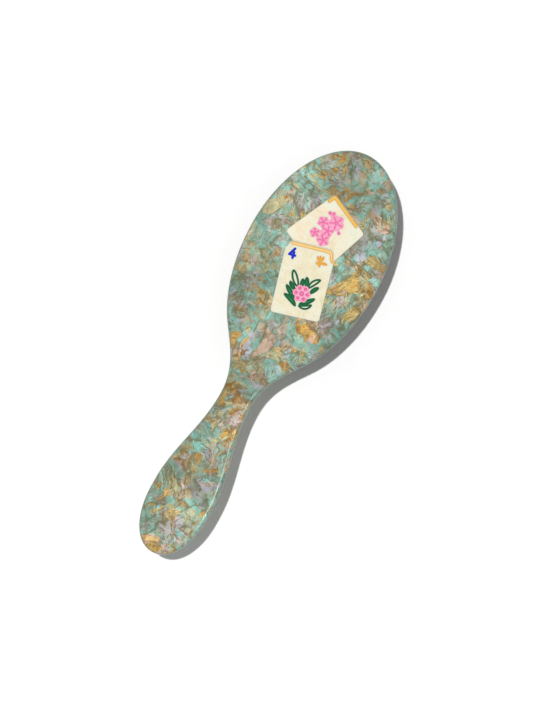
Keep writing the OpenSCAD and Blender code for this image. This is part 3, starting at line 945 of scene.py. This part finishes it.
def pin_profile(top):
    """A pin from its ball to its foot, as (radius, z); its foot ends at height top."""
    angles = [math.pi * BALL_SHARE * i / BALL_STEPS for i in range(BALL_STEPS + 1)]
    ball = [(BALL * math.sin(angle), BALL * (1 - math.cos(angle))) for angle in angles]
    neck_z, foot_z = ball[-1][1], top - FOOT_HEIGHT
    shaft = [(PIN_NECK, neck_z + 0.25 * MM), (PIN_LOW, neck_z + 2.0 * MM),
             (PIN_HALF, foot_z - 5.0 * MM), (PIN_HALF, foot_z - 0.2 * MM)]
    foot = [(0.9 * FOOT_HALF, foot_z), (FOOT_HALF, foot_z + FOOT_EASE), (FOOT_HALF, top - FOOT_EASE),
            (0.9 * FOOT_HALF, top), (0.0, top)]
    return ball + shaft + foot


def make_pins(ring, material):
    """One ring's ball-tipped pins, with round feet behind the rubber."""
    profile = pin_profile(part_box(f"pin_ring_{ring}")[1].z)
    bm = bmesh.new()
    for place in pin_places(ring):
        revolve(bm, place, profile, PIN_SIDES)
    pins = finish_mesh(f"ball_tipped_pins_{ring}", bm, material, 45)
    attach(pins, body_of_ring(ring))
    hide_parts(f"pin_ring_{ring}")


# ---------------------------------------------------------------- bristle

SEED = 11
HAIRS = 46
HAIR_HALF = 0.11 * MM
HAIR_RINGS, HAIR_SIDES = 5, 3
# Hairs grow within this distance of a pin's middle
TUFT_HALF = 1.15 * MM
# How deep a hair's root lies in the rubber, and how deep at least
ROOT_DEPTH, LEAST_ROOT = 0.23 * MM, 0.06 * MM
HALVINGS = 24


def wall_distance(x, y):
    """Distance inside the recess wall of the oval that runs through a point."""
    near, far = 0.0, RECESS_HALF.x
    across, along = x - CUSHION_MIDDLE.x, y - CUSHION_MIDDLE.y
    for _ in range(HALVINGS):
        middle = (near + far) / 2
        inside_oval = math.hypot(across / (RECESS_HALF.x - middle), along / (RECESS_HALF.y - middle)) < 1
        near, far = (middle, far) if inside_oval else (near, middle)
    return near


def root_z(x, y, travel):
    """Where a hair ends inside the rubber, so that it stays in there when the cushion is pressed."""
    face = dome_z(wall_distance(x, y))
    return face + max(LEAST_ROOT, ROOT_DEPTH - travel + GIVE * (FRONT_Z - face))


def add_hair(bm, rng, place, travel, tip_z):
    """One hair, three-sided and tapering, from the rubber to about tip_z. Returns how light it is."""
    x, y = place
    angle = rng.uniform(0, 2 * math.pi)
    start = math.sqrt(rng.uniform(0.3, 1.0)) * TUFT_HALF
    spread = start * rng.uniform(1.25, 1.65)
    swing = rng.uniform(-0.35, 0.35)
    top = root_z(x + start * math.cos(angle), y + start * math.sin(angle), travel)
    bottom = tip_z + rng.uniform(-0.5, 1.3) * MM
    bend = rng.uniform(-0.25, 0.25) * MM
    tone = min(1.0, max(0.0, rng.gauss(0.45, 0.22)))
    rings = []
    for step in range(HAIR_RINGS):
        share = step / (HAIR_RINGS - 1)
        reach = start + (spread - start) * share ** 1.4
        turn = angle + swing * share
        bow = bend * math.sin(math.pi * share)
        middle = (x + reach * math.cos(turn) + bow, y + reach * math.sin(turn) + bow * math.cos(5 * angle))
        half = HAIR_HALF * (1 - 0.55 * share ** 2)
        rings.append(at_height(around(middle, half, HAIR_SIDES), top + (bottom - top) * share))
    for end in add_rings(bm, rings):
        bm.faces.new(end)
    return tone


def make_bristle(ring, material):
    """Tufts of separate hairs round the pins, leaning outwards and cut to uneven lengths."""
    tip_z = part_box(f"tuft_ring_{ring}")[0].z
    rng = random.Random(SEED + ring)
    travel = travel_of(body_of_ring(ring))
    bm = bmesh.new()
    tones = []
    for place in pin_places(ring):
        for _ in range(HAIRS):
            tones += [add_hair(bm, rng, place, travel, tip_z)] * HAIR_RINGS * HAIR_SIDES
    bmesh.ops.recalc_face_normals(bm, faces=bm.faces)
    tufts = add_object(f"bristle_tufts_{ring}", bm, material, 80)
    attribute = tufts.data.attributes.new("tone", "FLOAT", "POINT")
    attribute.data.foreach_set("value", np.array(tones, np.float32))
    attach(tufts, body_of_ring(ring))
    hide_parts(f"tuft_ring_{ring}")


# ---------------------------------------------------------------- studio

CAMERA_PLACE = (2.7 * MM, 0.7 * MM)
CAMERA_TURN = 28.82
VIEW_HEIGHT = 0.3457
KEY_TILT = math.tan(math.radians(10.8))
KEY_SIDE = Vector((-0.96, 0.28))
PANEL_PLACE, PANEL_TARGET = (0.15, -0.076, 0.20), (0.018, -0.076, 0.03)
FLOOR_HALF = 3.0


def make_camera():
    """Straight above the back, turned so that the brush leans to the right."""
    data = bpy.data.cameras.new("camera")
    data.lens = 200
    data.sensor_width = 36
    data.clip_start = 0.01
    camera = bpy.data.objects.new("camera", data)
    camera.location = (*CAMERA_PLACE, BACK_Z + VIEW_HEIGHT * data.lens / data.sensor_width)
    camera.rotation_euler = (0, 0, math.radians(CAMERA_TURN))
    bpy.context.scene.collection.objects.link(camera)
    bpy.context.scene.camera = camera


def add_light(kind, name, power, place, target=(0, 0, 0.02)):
    """A light at a place, aimed at a target."""
    data = bpy.data.lights.new(name, kind)
    data.energy = power
    light = bpy.data.objects.new(name, data)
    light.location = place
    light.rotation_euler = (Vector(target) - light.location).to_track_quat("-Z", "Y").to_euler()
    bpy.context.scene.collection.objects.link(light)
    return light


def make_floor():
    half = FLOOR_HALF
    mesh = bpy.data.meshes.new("floor")
    corners = [(-half, -half, 0), (half, -half, 0), (half, half, 0), (-half, half, 0)]
    mesh.from_pydata(corners, [], [(0, 1, 2, 3)])
    mesh.materials.append(floor_material())
    floor = bpy.data.objects.new("floor", mesh)
    bpy.context.scene.collection.objects.link(floor)


def make_lights():
    """A small high key light that draws the shadow to the lower right, a panel that lights the rim there,
    and even light all round."""
    key = add_light("SUN", "key", 2.70, (KEY_SIDE.x * KEY_TILT, KEY_SIDE.y * KEY_TILT, 1.02))
    key.data.angle = math.radians(1.4)
    key.visible_glossy = False
    panel = add_light("AREA", "rim_panel", 0.012, PANEL_PLACE, PANEL_TARGET)
    panel.data.shape = "RECTANGLE"
    panel.data.size, panel.data.size_y = 0.10, 0.14
    panel.data.spread = math.radians(26)
    panel.visible_diffuse = False
    world = bpy.data.worlds.new("studio")
    world.use_nodes = True
    background = world.node_tree.nodes["Background"]
    background.inputs["Color"].default_value = (1, 1, 1, 1)
    background.inputs["Strength"].default_value = 0.30
    bpy.context.scene.world = world


def make_studio():
    make_camera()
    make_floor()
    make_lights()
    bpy.context.scene.view_settings.view_transform = "Standard"


# ---------------------------------------------------------------- assembly

# Node, slot, colours (at the edge, in the middle and where it's deep), and reach from edge to middle in mm
# The middle colours are lighter than the edge colours: a painted highlight down each line, with painted shade
# at its edges
PAINTS = [
    ("lower_gold_line", "gold_paint", ("E9A63C", "FFE29A", "F3BE55"), 0.8),
    ("upper_gold_line", "gold_paint", ("E5A136", "FBCF6B", "F0B548"), 0.8),
    ("blue_numeral", "blue_paint", ("0A18A8", "1430D8", "0812A0"), 0.45),
    ("orange_sprig", "orange_paint", ("E8982A", "F2B448", "D98A22"), 0.4),
    ("leaf_outlines", "dark_green_paint", ("0A5530", "0C6A3C", "07442A"), 0.36),
    ("leaf_fills", "light_green_paint", ("1F8A50", "35A868", "157A44"), 0.5),
    ("flower_petals", "pink_paint", ("FF9CC2", "FFBCD6", "FA8AB6"), 0.7),
    ("flower_centres", "rose_paint", ("D8508C", "E87AA8", "C4407C"), 0.3),
    ("blossom_spray", "pink_paint", ("FF94BE", "FFB2D0", "F682B0"), 0.7),
    ("blossom_lines", "rose_paint", ("E0609A", "F088B4", "D0508A"), 0.25),
]

make_studio()
make_slab(Acetate().material)
make_tile("lower_tile_slice", "lower_tile", tile_material("lower_tile_resin", "F6EBC9"))
make_tile("upper_tile_slice", "upper_tile", tile_material("upper_tile_resin", "FBEACB"))
for node, slot, shades, reach in PAINTS:
    make_paint(node + "_paint", node, paint_material(node + "_paint", *shades), reach * MM)
make_cushion(rubber_material())
nylon, hair = nylon_material(), bristle_material()
for number in RING_NUMBERS:
    make_pins(number, nylon)
    make_bristle(number, hair)
